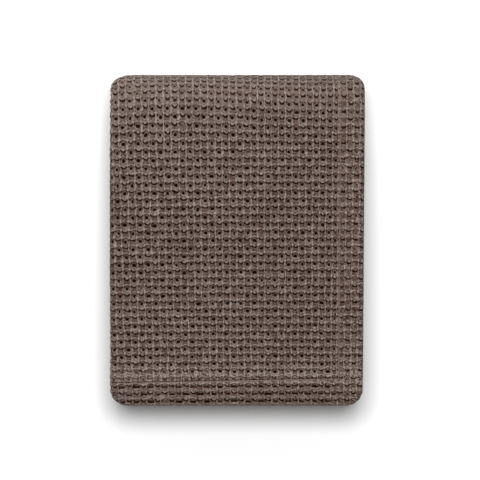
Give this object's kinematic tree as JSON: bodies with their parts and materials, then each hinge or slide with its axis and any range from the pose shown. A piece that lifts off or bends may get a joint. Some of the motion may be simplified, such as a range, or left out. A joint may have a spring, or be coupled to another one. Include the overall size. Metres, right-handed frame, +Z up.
{
  "type": "folded honeycomb-weave cotton bedspread",
  "caption": "Knobbly honeycomb-weave cotton bedspread with sewn hems, folded into a thick, round-cornered rectangular stack.",
  "frame": {"origin": "centre of the underside, on the surface that the folded bedspread lies on", "axes": "+X across the folded width, with the two side hems at +X; +Y along the folded length, with the thick round fold at +Y and the hemmed front end at -Y; +Z up through the layers"},
  "size_m": [0.3406, 0.4436, 0.1097],
  "materials": {
    "cotton_cloth": "matte knobbly cotton yarn, woven in deep honeycomb cells, warm taupe brown"
  },
  "bodies": {
    "root": {"bedspread": "cotton_cloth"}
  },
  "joints": []
}
